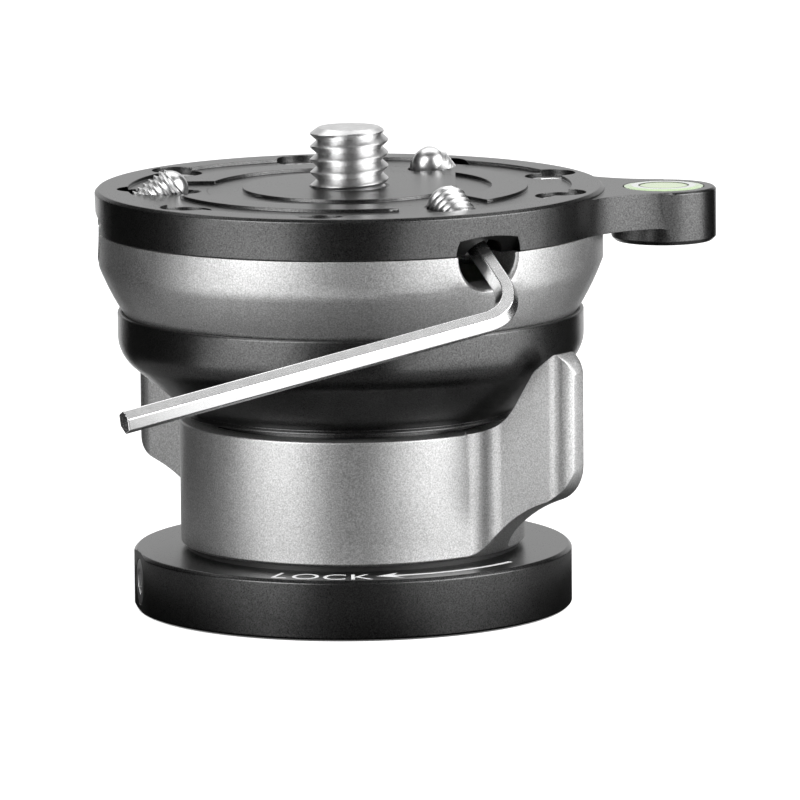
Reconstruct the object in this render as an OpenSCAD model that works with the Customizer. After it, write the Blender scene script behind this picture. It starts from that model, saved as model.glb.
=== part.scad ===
// Levelling base: a half-ball platform that tilts in a bowl and is clamped by a winged ring.
// Millimetres, +Z up, origin on the axis at the underside of the base disc.

/* [Base] */
// Diameter of the base disc
base_d = 53.5; // [50:0.5:58]
// Thickness of the base disc
base_h = 7.4; // [6.8:0.1:9]
// Chamfer on the edges of the base disc
base_chamfer = 0.4; // [0.2:0.05:0.7]
// Diameter of the centre post
post_d = 28; // [26:0.5:29]
// Height of the centre post above the base disc
post_rise = 12.6; // [11.5:0.1:13]
// Bore for the 3/8 inch tripod thread
tripod_bore_d = 7.94; // [7:0.02:9]
// Depth of the tripod bore
tripod_bore_depth = 10; // [8:0.5:11]
// Solid web between the tripod bore and the clamp stud
post_web = 2; // [1.5:0.1:3]
// Diameter of the grub screw in the side of the base disc
grub_d = 5.6; // [4:0.1:6]
// Direction of the grub screw, in degrees from +X
grub_turn = 190; // [180:0.5:220]
// Depth of the flat that the grub screw sits in
grub_flat = 0.35; // [0.2:0.05:0.5]
// Diameter of the pins that stop the bowl turning
pin_d = 3; // [2:0.1:4]
// Setback of the pins' ends from the outside of the bowl's neck
pin_setback = 1.6; // [1.2:0.1:2.4]

/* [Lock ring] */
// Outer diameter of the ring
ring_d = 42; // [41:0.2:44]
// Height of the ring
ring_h = 15.2; // [14.6:0.1:17]
// Thickness of the ring's wall
ring_wall = 2.95; // [2.4:0.05:3.4]
// Thickness of the ring's floor
ring_floor = 2.3; // [1.8:0.1:3]
// Thickness of the thrust washer under the ring
washer_t = 0.64; // [0.4:0.02:1]
// Setback of the thrust washer from the ring's side
washer_inset = 0.8; // [0.4:0.1:2]
// Distance of each wing's front face from its centre line
wing_front = 1.25; // [0.8:0.05:1.6]
// Distance of each wing's back face from its centre line
wing_back = 2.5; // [2:0.1:3]
// Radius of the round nose between a wing's front face and its tip
wing_nose = 2.9; // [2:0.1:3.2]
// Radius of the wing tips
wing_r = 33.5; // [32.5:0.1:36]
// Direction of the first wing, in degrees from +X
wing_turn = -37.7; // [-60:0.1:-20]
// Rise of the wing tips above the top of the ring
wing_rise = 10.4; // [9.5:0.1:11.5]
// Radius of the fillets where a wing meets the ring
wing_fillet = 3.4; // [2:0.1:4]

/* [Bowl] */
// Diameter of the bowl's rim
rim_d = 56.8; // [56.6:0.1:58]
// Height of the ball's centre above the top of the ring
ball_rise = 30.8; // [30.4:0.1:32.5]
// Depth of the bowl's rim below the ball's centre
rim_drop = 17.4; // [17:0.1:18]
// Angle of the bowl's underside above level
bowl_slope = 40; // [36:0.5:42]
// Radius of the rounding between the rim and the underside
belly_r = 4.8; // [3:0.1:6]
// Radius of the bowl's waist above the ring
waist_r = 20.1; // [19.9:0.05:20.4]
// Gap between the bowl's lip and the top of the ring
lip_gap = 0.75; // [0.5:0.05:0.9]
// Thickness of the liner let into the bowl's seat
seat_liner_t = 0.4; // [0.3:0.05:0.8]
// Width of the seat liner, seen from above
seat_liner_w = 3.9; // [2:0.1:5]
// Setback of the seat liner from the rim's outside
seat_liner_inset = 2.5; // [2:0.1:4]

/* [Half-ball] */
// Radius of the ball
ball_r = 32.8; // [32.6:0.05:33]
// Wall between the outer and the inner sphere
shell_t = 4.8; // [4:0.1:5.2]
// Diameter of the straight skirt under the plate
skirt_d = 61.6; // [61:0.1:63]
// Diameter of the hollow's mouth
mouth_d = 48; // [46:0.5:49]
// Diameter of the opening for the clamp stud
opening_d = 26; // [24:0.5:27]

/* [Clamp] */
// Diameter of the clamp stud
stud_d = 10; // [8:0.5:10.5]
// Diameter of the clamp cap
cap_d = 36.8; // [34:0.2:37]
// Depth of the cap's flat top below the ball's centre
cap_drop = 19.8; // [19:0.1:21]
// Thickness of the sliding liner
liner_t = 0.7; // [0.5:0.05:1]
// Thickness of the spring washer's sheet
spring_t = 0.7; // [0.5:0.05:1]
// Height of the spring washer
spring_h = 1.2; // [1.1:0.05:1.6]
// Width of the clamp nut across its flats
nut_af = 16; // [14:0.5:17]
// Thickness of the clamp nut
nut_t = 5; // [4:0.1:5.5]

/* [Top plate] */
// Diameter of the top plate
plate_d = 62; // [61.8:0.1:66]
// Thickness of the top plate
plate_t = 5.1; // [4.8:0.1:5.6]
// Depth of the plate's underside below the ball's centre
plate_drop = 7.6; // [7.2:0.1:8]
// Chamfer on the plate's upper edge
plate_chamfer = 0.4; // [0.2:0.05:0.6]
// How much narrower the plate is at its lower edge
plate_taper = 0.15; // [0.1:0.05:0.3]
// Turn of the platform's pattern, in degrees from +X
pattern_turn = 3; // [-10:0.5:10]
// Depth of the channels in the top face
channel_depth = 0.42; // [0.2:0.02:0.6]
// Radius of the raised centre
centre_r = 13; // [12:0.1:14]
// Inner radius of the raised ridge
ridge_in = 17.3; // [16.5:0.1:18]
// Outer radius of the raised ridge
ridge_out = 21.7; // [20.5:0.1:22.5]
// Inner radius of the raised edge
edge_in = 27; // [26:0.1:27.5]
// Width of the gaps in the ridge at the set screws
ridge_gap = 12.6; // [11:0.1:14]
// Diameter of the 3/8 inch camera stud
camera_stud_d = 9.525; // [6.35:0.005:10]
// Height of the camera stud above the plate
camera_stud_h = 7.2; // [6:0.1:9]
// Chamfer on the camera stud's end
camera_stud_chamfer = 1; // [0.4:0.1:1.2]
// Step from the camera stud's thread in to its shank in the plate
shank_step = 0.25; // [0.1:0.05:0.6]
// Width of the countersink in the plate round the camera stud's foot
stud_sink = 0.15; // [0.1:0.05:0.4]
// Diameter of the camera stud's head under the plate
stud_head_d = 14; // [12:0.5:16]
// Thickness of the camera stud's head
stud_head_t = 3; // [2:0.1:3.2]

/* [Plate screws] */
// Thread diameter of the plate screws
plate_screw_d = 3; // [2.5:0.1:3.2]
// Length of the plate screws under their heads
plate_screw_len = 7; // [5:0.5:7.5]
// Diameter of the plate screws' heads
plate_head_d = 5.5; // [5:0.1:5.8]
// Height of the plate screws' heads
plate_head_h = 3; // [2.4:0.1:3.2]
// Depth of the plate screws' heads below the top face
plate_head_sink = 0.85; // [0.6:0.05:1]
// Radius of the circle that the plate screws stand on
plate_screw_r = 26.7; // [26.4:0.1:27]
// Diameter of the counterbores for the plate screws
counterbore_d = 6.2; // [6:0.1:6.4]

/* [Set screws] */
// Thread diameter of the set screws
set_d = 5; // [4:0.1:5.2]
// Length of the set screws
set_len = 9; // [8:0.1:10]
// Angle of the set screws below level, outwards
set_slope = 36; // [33:0.5:40]
// Radius at which a set screw's axis crosses the top face
set_cross_r = 21.7; // [21:0.1:22.6]
// Distance that the left and back tips stand past that crossing
set_tip = 2.1; // [1.4:0.1:3]
// Distance that the front tip stands past that crossing
set_tip_front = 2.2; // [1.4:0.1:3.5]
// Height of the domes on the set screws' tips
set_dome = 1.2; // [0.8:0.1:1.6]
// Diameter of those domes
set_dome_d = 4; // [3:0.1:4.4]
// Distance of the flat spot faces in the plate's rim from that crossing
spot_reach = 9.1; // [8.8:0.1:9.6]
// Diameter of the hollows that end at the spot faces
spot_d = 9.1; // [8:0.1:9.4]
// Diameter of the notches in the raised edge behind the left and back screws
notch_d = 7.7; // [7:0.1:8]
// Distance of those notches from that crossing
notch_reach = 3.7; // [3.5:0.1:4]
// Depth of those notches
notch_depth = 1.4; // [0.8:0.1:1.8]
// Diameter of the round ports in the half-ball's skirt
port_d = 8.15; // [7.6:0.05:8.6]
// Chamfer on the ports
port_chamfer = 0.65; // [0.3:0.05:0.8]
// Depth of the ports' axes below the plate
port_sink = 0.05; // [0:0.05:0.4]
// Wall left round the ports, in front of their pockets
port_wall = 0.85; // [0.7:0.05:1.2]

/* [Level] */
// Distance of the bubble level from the axis
level_r = 38.3; // [37.8:0.1:41]
// Diameter of the boss that holds the level
boss_d = 12.8; // [12:0.1:14]
// Depth of the boss below the plate
boss_drop = 2.1; // [1:0.1:2.4]
// Step from the plate's top down to the arm
arm_step = 0.65; // [0.4:0.05:1]
// Radius of the arm's hollow sides
arm_fillet = 14; // [10:0.5:18]
// Diameter of the level's cup
vial_d = 9.9; // [9:0.1:10.4]
// Wall of the level's cup
vial_wall = 1.85; // [1:0.05:2.2]
// Floor of the level's cup
vial_floor = 0.75; // [0.5:0.05:1]
// Depth of the level's cup
vial_h = 4.6; // [4.2:0.1:5]
// Height of the level's cup above the arm
vial_stand = 0.1; // [0:0.05:0.3]
// Thickness of the level's clear lid
lens_t = 0.6; // [0.4:0.05:0.8]
// Diameter of the bubble
bubble_d = 3; // [2:0.1:3.2]

/* [Hex key] */
// Width of the key across its flats
key_af = 2.5; // [2:0.1:2.7]
// Depth of the socket in each set screw
socket_depth = 2.5; // [2:0.1:3]
// Distance of the key's corner from the crossing
key_corner = 19.3; // [17:0.1:22]
// Length of the key's long arm from its corner
key_long = 52.4; // [45:0.1:60]
// Radius of the key's bend at its middle line
key_bend = 4.8; // [3.5:0.1:6]
// Turn of the long arm about the screw's axis, in degrees
key_turn = -77.5; // [-90:0.5:-65]

/* [Clearances] */
// Radial clearance of parts that slide or turn in each other
run_gap = 0.05; // [0.02:0.01:0.1]
// Radial clearance of parts that are fastened together
seat_gap = 0.02; // [0.01:0.01:0.05]
// Clearance round screws that pass through a plain hole
free_gap = 0.3; // [0.2:0.05:0.5]

/* [Hidden] */

BLACK = [0.06, 0.06, 0.065];
SILVER = [0.72, 0.72, 0.73];
STEEL = [0.8, 0.8, 0.82];
PLASTIC = [0.85, 0.86, 0.84];
WASHER = [0.03, 0.03, 0.03];
LIQUID = [0.75, 0.9, 0.35];
FINE = 96;
ROUND = 48;
STEPS = 10;
OVER = 1;
// How far a fillet's start lies inside the round that it leaves
root_sink = 0.02;
// How far a wing's nose reaches past the tip before it is trimmed
nose_trim = 0.28;

z_base = base_h;
z_post = z_base + post_rise;
z_ring = z_base + washer_t;
z_ring_top = z_ring + ring_h;
z_ball = z_ring_top + ball_rise;
z_rim = z_ball - rim_drop;
z_plate = z_ball - plate_drop;
z_top = z_plate + plate_t;
z_cap = z_ball - cap_drop;
z_arm = z_top - arm_step;

base_r = base_d / 2;
post_r = post_d / 2;
ring_r = ring_d / 2;
ring_bore_r = ring_r - ring_wall;
neck_r = ring_bore_r - run_gap;
pin_end = neck_r - pin_setback;
bowl_bore_r = post_r + run_gap;
rim_r = rim_d / 2;
seat_liner_out = rim_r - seat_liner_inset;
seat_liner_in = seat_liner_out - seat_liner_w;
seat_r = ball_r + run_gap;
inner_r = ball_r - shell_t;
liner_r = inner_r - run_gap;
cap_r = liner_r - liner_t - run_gap;
skirt_r = skirt_d / 2;
mouth_r = mouth_d / 2;
opening_r = opening_d / 2;
stud_r = stud_d / 2;
stud_tail = z_post - tripod_bore_depth - post_web;
plate_r = plate_d / 2;
camera_r = camera_stud_d / 2;
shank_r = camera_r - shank_step;
boss_r = boss_d / 2;
vial_r = vial_d / 2;
z_vial = z_arm - vial_h;
z_cup = z_arm + vial_stand;
z_lens = z_cup - lens_t;
z_fluid = z_vial + vial_floor;
dome_r = (pow(set_dome_d / 2, 2) + pow(set_dome, 2)) / (2 * set_dome);
neck_foot = 0.5;
lip_h = 0.2;
lip_reach = 0.3;
waist_h = 0.05;
rim_round = 0.35;
pin_slot_top = 1.5;
z_pin = z_ring + ring_floor + neck_foot + pin_d / 2 + pin_slot_top;
z_head_seat = z_top - plate_head_sink - plate_head_h;
z_screw_tip = z_head_seat - plate_screw_len;
z_port = z_plate - port_sink;

// Directions of the set screws and of the plate screws, every 40 degrees
set_left = pattern_turn + 180;
set_back = pattern_turn + 60;
set_front = pattern_turn + 300;
SET_TURNS = [set_left, set_back, set_front];
PLATE_TURNS = [for (k = [0:8]) if (k % 3 != 1) pattern_turn + 20 + 40 * k];

// Points of an arc that leaves point p at heading h0 and turns to heading h1
function bend(p, h0, h1, r) =
    let (side = h1 > h0 ? 1 : -1)
    [for (i = [1:STEPS])
        let (h = h0 + (h1 - h0) * i / STEPS)
        p + side * r * [sin(h) - sin(h0), cos(h0) - cos(h)]];

// Points of an arc about a centre
function arc(c, r, a0, a1) =
    [for (i = [0:STEPS]) let (a = a0 + (a1 - a0) * i / STEPS) c + r * [cos(a), sin(a)]];

function last(list) = list[len(list) - 1];
function backwards(list) = [for (i = [len(list) - 1:-1:0]) list[i]];

// A disc with chamfers on its lower and upper edges
module chamfered_disc(r_low, r_high, z0, z1, low, high)
    rotate_extrude($fn = FINE)
        polygon([[0, z0], [r_low - low, z0], [r_low, z0 + low],
                 [r_high, z1 - high], [r_high - high, z1], [0, z1]]);

module tube(r_out, r_in, z0, z1)
    translate([0, 0, z0])
        difference() {
            cylinder(r = r_out, h = z1 - z0, $fn = FINE);
            translate([0, 0, -OVER])
                cylinder(r = r_in, h = z1 - z0 + 2 * OVER, $fn = FINE);
        }

module rod(r, z0, z1, sides = ROUND)
    translate([0, 0, z0]) cylinder(r = r, h = z1 - z0, $fn = sides);

// A hexagonal bar given by its width across flats
module hex_rod(af, z0, z1)
    rod(af / 2 / cos(30), z0, z1, 6);

// Places children on a set screw's axis: local +Z runs outwards and down
module on_set_axis(turn)
    rotate([0, 0, turn])
        translate([set_cross_r, 0, z_top])
            rotate([0, 90 + set_slope, 0])
                children();

// Places children on the axis of the grub screw: local +Z runs outwards
module on_grub_axis()
    rotate([0, 0, grub_turn])
        translate([0, 0, z_base / 2])
            rotate([0, 90, 0])
                children();

module base_disc() color(BLACK)
    difference() {
        chamfered_disc(base_r, base_r, 0, z_base, base_chamfer, base_chamfer);
        rod(post_r + seat_gap, -OVER, z_base + OVER, FINE);
        on_grub_axis() rod(grub_d / 2 + seat_gap, post_r, base_r + OVER);
        rotate([0, 0, grub_turn])
            translate([base_r - grub_flat, -base_r / 2, -OVER])
                cube([grub_flat + OVER, base_r, z_base + 2 * OVER]);
    }

module base_grub_screw() color(STEEL)
    difference() {
        on_grub_axis() rod(grub_d / 2, post_r + seat_gap, base_r - grub_flat - seat_gap);
        on_grub_axis() hex_rod(grub_d / 2, base_r - grub_flat - grub_d / 2, base_r + OVER);
    }

module centre_post() color(SILVER)
    difference() {
        rod(post_r, 0, z_post, FINE);
        rod(tripod_bore_d / 2, -OVER, tripod_bore_depth);
        rod(stud_r + seat_gap, z_post - stud_tail, z_post + OVER);
        pin_pair(pin_d / 2 + seat_gap, stud_r + post_web, post_r + OVER);
    }

// Two round pins across the post, high enough to stay inside the bowl's neck
module pin_pair(r, from_r, to_r)
    for (turn = [0, 180])
        rotate([0, 0, turn])
            translate([0, 0, z_pin])
                rotate([0, 90, 0]) rod(r, from_r, to_r);

module anti_turn_pins() color(STEEL)
    pin_pair(pin_d / 2, stud_r + post_web + seat_gap, pin_end);

module thrust_washer() color(WASHER)
    tube(ring_r - washer_inset, post_r + seat_gap, z_base, z_ring);

// Fillet between the ring and a wing face at a distance from the wing's centre line, from the ring outwards
function root_fillet(face) =
    let (f = wing_fillet,
         fx = sqrt(pow(ring_r + f - root_sink, 2) - pow(face + f, 2)))
    arc([fx, -face - f], f, 180 - atan2(face + f, fx), 90);

// Plan of one wing, along +X: fillets at the ring, a round nose in front and a square heel behind
function wing_plan() =
    let (nose_y = wing_nose - wing_front,
         nose_x = sqrt(pow(wing_r + nose_trim - wing_nose, 2) - pow(nose_y, 2)))
    concat([[ring_bore_r, -wing_front]], root_fillet(wing_front), arc([nose_x, nose_y], wing_nose, -90, 0),
           [[wing_r + nose_trim, wing_back]],
           backwards([for (p = root_fillet(wing_back)) [p[0], -p[1]]]), [[ring_bore_r, wing_back]]);

// Turned outline that both wings are cut from, as radius and height
function wing_outline() =
    let (under = bend([ring_r + 0.3, z_ring + 0.6], 55, 21, 18),
         foot = [wing_r - 3.1, last(under)[1] + 0.37 * (wing_r - 3.1 - last(under)[0])],
         toe = bend(foot, 21, 90, 4.8),
         z_peak = z_ring_top + wing_rise,
         rise = bend([ring_r - 0.1, z_ring_top], 15, 57, 8.5),
         shoulder = bend([wing_r - 5.05, z_peak - 2.75], 57, 35, 2.5),
         crest = bend([wing_r - 2.05, z_peak - 0.25], 35, -35, 0.6),
         tip = bend(last(crest), -35, -90, (wing_r - last(crest)[0]) / (1 - sin(35))))
    concat([[ring_bore_r, z_ring], [ring_r - 0.3, z_ring], [ring_r + 0.3, z_ring + 0.6]],
           under, [foot], toe,
           backwards(concat([[ring_r - 0.1, z_ring_top]], rise, shoulder, crest, tip)),
           [[ring_bore_r, z_ring_top]]);

// The second wing is the mirror image of the first, so both noses face the same side
module lock_ring() color(SILVER)
    difference() {
        union() {
            chamfered_disc(ring_r, ring_r, z_ring, z_ring_top, 0.3, 0.15);
            intersection() {
                rotate_extrude($fn = FINE) polygon(wing_outline());
                for (side = [0, 1])
                    rotate([0, 0, wing_turn + 180 * side])
                        translate([0, 0, z_ring])
                            linear_extrude(height = ring_h + wing_rise + OVER)
                                polygon([for (p = wing_plan()) [p[0], p[1] * (1 - 2 * side)]]);
            }
        }
        rod(ring_bore_r, z_ring + ring_floor, z_ring_top + wing_rise + OVER, FINE);
        rod(post_r + free_gap, z_ring - OVER, z_ring_top, FINE);
    }

// Outline of the bowl, as radius and height: neck, lip, waist, sloping underside, belly and rim
function bowl_outline() =
    let (z_neck = z_ring + ring_floor + neck_foot,
         z_lip = z_ring_top + lip_gap,
         z_waist = z_lip + lip_h + lip_reach,
         cone = [waist_r, z_waist + waist_h],
         corner_z = cone[1] + (rim_r - waist_r) * tan(bowl_slope),
         ease = belly_r * tan((90 - bowl_slope) / 2),
         start = [rim_r - ease * cos(bowl_slope), corner_z - ease * sin(bowl_slope)],
         belly = bend(start, bowl_slope, 90, belly_r),
         brow = bend([rim_r, z_rim - rim_round], 90, 180, rim_round))
    concat([[0, z_neck], [neck_r, z_neck], [neck_r, z_lip], [waist_r + lip_reach, z_lip],
            [waist_r + lip_reach, z_lip + lip_h], [waist_r, z_waist], cone, start],
           belly, brow, [[0, z_rim]]);

module bowl() color(BLACK)
    difference() {
        rotate_extrude($fn = FINE) polygon(bowl_outline());
        translate([0, 0, z_ball]) sphere(r = seat_r, $fn = FINE);
        seat_zone(seat_r + seat_liner_t + run_gap, seat_liner_in - run_gap, seat_liner_out + run_gap);
        rod(bowl_bore_r, z_ring, z_rim, FINE);
        for (turn = [0, 180])
            rotate([0, 0, turn])
                translate([0, -pin_d / 2 - run_gap, z_ring])
                    cube([pin_end + free_gap, pin_d + 2 * run_gap,
                          z_pin + pin_d / 2 + pin_slot_top - z_ring]);
    }

// Ring-shaped piece of a ball between two radii
module seat_zone(r, r_in, r_out)
    intersection() {
        translate([0, 0, z_ball]) sphere(r = r, $fn = FINE);
        tube(r_out, r_in, z_ring, z_rim);
    }

module seat_liner() color(PLASTIC)
    difference() {
        seat_zone(seat_r + seat_liner_t, seat_liner_in, seat_liner_out);
        translate([0, 0, z_ball]) sphere(r = seat_r, $fn = FINE);
    }

module clamp_stud() color(STEEL)
    chamfered_disc(stud_r, stud_r, z_post - stud_tail, z_cap + spring_h + nut_t + 1, 0.5, 0.8);

module clamp_cap() color(STEEL)
    difference() {
        intersection() {
            translate([0, 0, z_ball]) sphere(r = cap_r, $fn = FINE);
            rod(cap_d / 2, z_ball - ball_r, z_cap, FINE);
        }
        rod(stud_r + run_gap, z_post, z_cap + OVER);
    }

// Conical spring washer: its rim stands on the cap and its bore carries the nut
module spring_washer() color(STEEL)
    rotate_extrude($fn = FINE)
        polygon([[stud_r + run_gap, z_cap + spring_h - spring_t], [nut_af / 2, z_cap],
                 [nut_af / 2, z_cap + spring_t], [stud_r + run_gap, z_cap + spring_h]]);

module clamp_nut() color(STEEL)
    difference() {
        hex_rod(nut_af, z_cap + spring_h, z_cap + spring_h + nut_t);
        rod(stud_r + seat_gap, z_cap, z_cap + spring_h + nut_t + OVER);
    }

module ball_liner() color(PLASTIC)
    difference() {
        intersection() {
            translate([0, 0, z_ball]) sphere(r = liner_r, $fn = FINE);
            rod(mouth_r - free_gap, z_ball - ball_r,
                z_ball - sqrt(pow(liner_r, 2) - pow(mouth_r - free_gap, 2)), FINE);
        }
        translate([0, 0, z_ball]) sphere(r = liner_r - liner_t, $fn = FINE);
        rod(opening_r, z_ball - ball_r, z_ball, FINE);
    }

module half_ball() color(SILVER)
    difference() {
        intersection() {
            translate([0, 0, z_ball]) sphere(r = ball_r, $fn = FINE);
            rod(skirt_r, z_ball - ball_r - OVER, z_plate, FINE);
        }
        intersection() {
            translate([0, 0, z_ball]) sphere(r = inner_r, $fn = FINE);
            rod(mouth_r, z_ball - ball_r, z_ball, FINE);
        }
        rod(opening_r, z_ball - ball_r - OVER, z_ball, FINE);
        for (turn = PLATE_TURNS)
            rotate([0, 0, turn])
                translate([plate_screw_r, 0, 0])
                    rod(plate_screw_d / 2 + seat_gap, z_screw_tip - free_gap, z_plate + OVER);
        for (turn = SET_TURNS)
            rotate([0, 0, turn]) {
                port_pocket();
                translate([0, 0, z_port])
                    rotate([0, 90, 0]) {
                        rod(port_d / 2, mouth_r - OVER, skirt_r + OVER);
                        port_funnel();
                    }
            }
    }

// Cone that chamfers a port
module port_funnel()
    translate([0, 0, skirt_r - port_chamfer])
        cylinder(r1 = port_d / 2, r2 = port_d / 2 + 2 * port_chamfer, h = 2 * port_chamfer, $fn = ROUND);

// Hollow behind a port: it leaves only a thin wall in the skirt
module port_pocket()
    intersection() {
        rod(skirt_r - port_wall, z_port - port_d / 2, z_plate + OVER, FINE);
        translate([mouth_r - OVER, -port_d / 2, z_port - port_d / 2])
            cube([skirt_r, port_d, port_d]);
    }

// Plan of the arm between the plate and the boss, with hollow sides
module arm_plan()
    let (plate_side = plate_r - plate_taper - root_sink,
         boss_side = boss_r - root_sink,
         far = plate_side + arm_fillet,
         near = boss_side + arm_fillet,
         cx = (far * far - near * near + level_r * level_r) / (2 * level_r),
         cy = sqrt(far * far - cx * cx),
         root = [cx, cy] * plate_side / far,
         neck = [level_r + (cx - level_r) * boss_side / near, cy * boss_side / near])
        difference() {
            polygon([[0, 0], root, neck, [neck[0], -neck[1]], [root[0], -root[1]]]);
            for (side = [-1, 1])
                translate([cx, side * cy]) circle(r = arm_fillet, $fn = FINE);
        }

module plate_blank() {
    chamfered_disc(plate_r - plate_taper, plate_r, z_plate, z_top, plate_taper, plate_chamfer);
    rotate([0, 0, pattern_turn]) {
        translate([0, 0, z_plate]) linear_extrude(height = plate_t - arm_step) arm_plan();
        translate([level_r, 0, 0])
            chamfered_disc(boss_r, boss_r, z_plate - boss_drop, z_arm, 0.5, 0.3);
    }
}

// Channels that leave the centre, the ridge and the edge standing
module plate_channels() {
    tube(ridge_in, centre_r, z_top - channel_depth, z_top + OVER);
    tube(edge_in, ridge_out, z_top - channel_depth, z_top + OVER);
    for (turn = SET_TURNS)
        rotate([0, 0, turn])
            translate([(centre_r + ridge_in) / 2, -ridge_gap / 2, z_top - channel_depth])
                cube([(ridge_out + edge_in - centre_r - ridge_in) / 2, ridge_gap, channel_depth + OVER]);
}

// Cone in the top face that keeps the plate clear of the stud's thread
module stud_countersink()
    let (sink = shank_step + stud_sink)
        translate([0, 0, z_top - sink])
            cylinder(r1 = shank_r, r2 = shank_r + 2 * sink, h = 2 * sink, $fn = ROUND);

// Hollow in the plate's rim above a port, which ends in a flat square to the set screw
module spot_hollow(turn)
    intersection() {
        rotate([0, 0, turn])
            translate([0, 0, z_port])
                rotate([0, 90, 0]) rod(spot_d / 2, mouth_r, plate_r + OVER);
        on_set_axis(turn)
            translate([-plate_r, -plate_r, spot_reach]) cube([2 * plate_r, 2 * plate_r, plate_r]);
    }

// Notch in the raised edge where a set screw's hole runs out
module edge_notch(turn)
    intersection() {
        on_set_axis(turn) rod(notch_d / 2, notch_reach, plate_r - set_cross_r);
        rod(plate_r, z_top - notch_depth, z_top + OVER, FINE);
    }

module top_plate() color(BLACK)
    difference() {
        plate_blank();
        plate_channels();
        rod(shank_r + seat_gap, z_plate - OVER, z_top + OVER);
        stud_countersink();
        for (turn = PLATE_TURNS)
            rotate([0, 0, turn])
                translate([plate_screw_r, 0, 0]) {
                    rod(counterbore_d / 2, z_head_seat, z_top + OVER);
                    rod(plate_screw_d / 2 + seat_gap, z_plate - OVER, z_top);
                }
        for (turn = SET_TURNS) {
            on_set_axis(turn) rod(set_d / 2 + run_gap, -set_len, spot_reach + OVER);
            spot_hollow(turn);
        }
        for (turn = [set_left, set_back]) edge_notch(turn);
        rotate([0, 0, pattern_turn])
            translate([level_r, 0, 0])
                rod(vial_r + seat_gap, z_vial, z_top + OVER);
    }

module plate_screws() color(STEEL)
    for (turn = PLATE_TURNS)
        rotate([0, 0, turn])
            translate([plate_screw_r, 0, 0])
                difference() {
                    union() {
                        chamfered_disc(plate_head_d / 2, plate_head_d / 2, z_head_seat,
                                       z_head_seat + plate_head_h, 0.1, 0.3);
                        rod(plate_screw_d / 2, z_screw_tip, z_head_seat + OVER);
                    }
                    hex_rod(plate_head_d * 0.45, z_head_seat + plate_head_h / 2, z_top);
                }

// Turned stud: head under the plate, shank in the plate, thread above it
module camera_stud() color(STEEL)
    let (z_head = z_plate - stud_head_t,
         z_end = z_top + camera_stud_h,
         head_r = stud_head_d / 2)
        rotate_extrude($fn = FINE)
            polygon([[0, z_head], [head_r, z_head], [head_r, z_plate], [shank_r, z_plate],
                     [shank_r, z_top], [camera_r, z_top], [camera_r, z_end - camera_stud_chamfer],
                     [camera_r - camera_stud_chamfer, z_end], [0, z_end]]);

// A set screw with a domed tip and a hexagon socket in its outer end
module set_screw(turn, tip)
    on_set_axis(turn)
        difference() {
            union() {
                rod(set_d / 2, set_dome - tip, set_len - tip);
                intersection() {
                    translate([0, 0, dome_r - tip]) sphere(r = dome_r, $fn = ROUND);
                    rod(set_dome_d / 2, -tip - OVER, set_dome - tip + OVER / 4);
                }
            }
            rotate([0, 0, key_turn])
                hex_rod(key_af + 2 * run_gap, set_len - tip - socket_depth, set_len - tip + OVER);
        }

module set_screw_left() color(STEEL) set_screw(set_left, set_tip);
module set_screw_back() color(STEEL) set_screw(set_back, set_tip);
module set_screw_front() color(STEEL) set_screw(set_front, set_tip_front);

module on_level() rotate([0, 0, pattern_turn]) translate([level_r, 0, 0]) children();

module vial_cup() color(PLASTIC)
    on_level()
        difference() {
            rod(vial_r, z_vial, z_cup);
            rod(vial_r - vial_wall, z_fluid, z_cup + OVER);
        }

module bubble_ball(r)
    translate([0, 0, z_lens - bubble_d / 2]) sphere(r = r, $fn = ROUND);

module vial_fluid() color(LIQUID)
    on_level()
        difference() {
            rod(vial_r - vial_wall, z_fluid, z_lens);
            bubble_ball(bubble_d / 2);
        }

module vial_bubble() color(PLASTIC)
    on_level() bubble_ball(bubble_d / 2 - seat_gap);

module vial_lens() color(PLASTIC)
    on_level() rod(vial_r - vial_wall, z_lens, z_cup - seat_gap);

// Hexagonal key: the short arm stands in the front screw, the long arm runs to the left
module hex_key() color(STEEL)
    on_set_axis(set_front)
        rotate([0, 0, key_turn]) {
            hex_rod(key_af, set_len - set_tip_front - socket_depth + run_gap, key_corner - key_bend);
            translate([key_bend, 0, key_corner - key_bend])
                rotate([90, 0, 0])
                    rotate([0, 0, 90])
                        rotate_extrude(angle = 90, $fn = FINE)
                            translate([key_bend, 0])
                                circle(r = key_af / 2 / cos(30), $fn = 6);
            translate([key_bend, 0, key_corner])
                rotate([0, 90, 0]) hex_rod(key_af, 0, key_long - key_bend);
        }

base_disc();
base_grub_screw();
centre_post();
anti_turn_pins();
thrust_washer();
lock_ring();
bowl();
seat_liner();
clamp_stud();
clamp_cap();
spring_washer();
clamp_nut();
ball_liner();
half_ball();
top_plate();
plate_screws();
camera_stud();
set_screw_left();
set_screw_back();
set_screw_front();
vial_cup();
vial_fluid();
vial_bubble();
vial_lens();
hex_key();
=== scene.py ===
# %% [markdown]
# A levelling base, dressed in Blender
#
# The object is a small turned-metal levelling base for a tripod. A silver half-ball rests in a
# black bowl, a winged ring under the bowl clamps it, and a black plate on top carries the camera
# stud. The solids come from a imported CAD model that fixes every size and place. This script only
# gives the parts their surfaces: rounded edges, real threads, blasted and plated metal, a printed
# mark.

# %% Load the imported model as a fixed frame
import math

import bmesh
import bpy
from mathutils import Matrix, Vector


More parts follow.
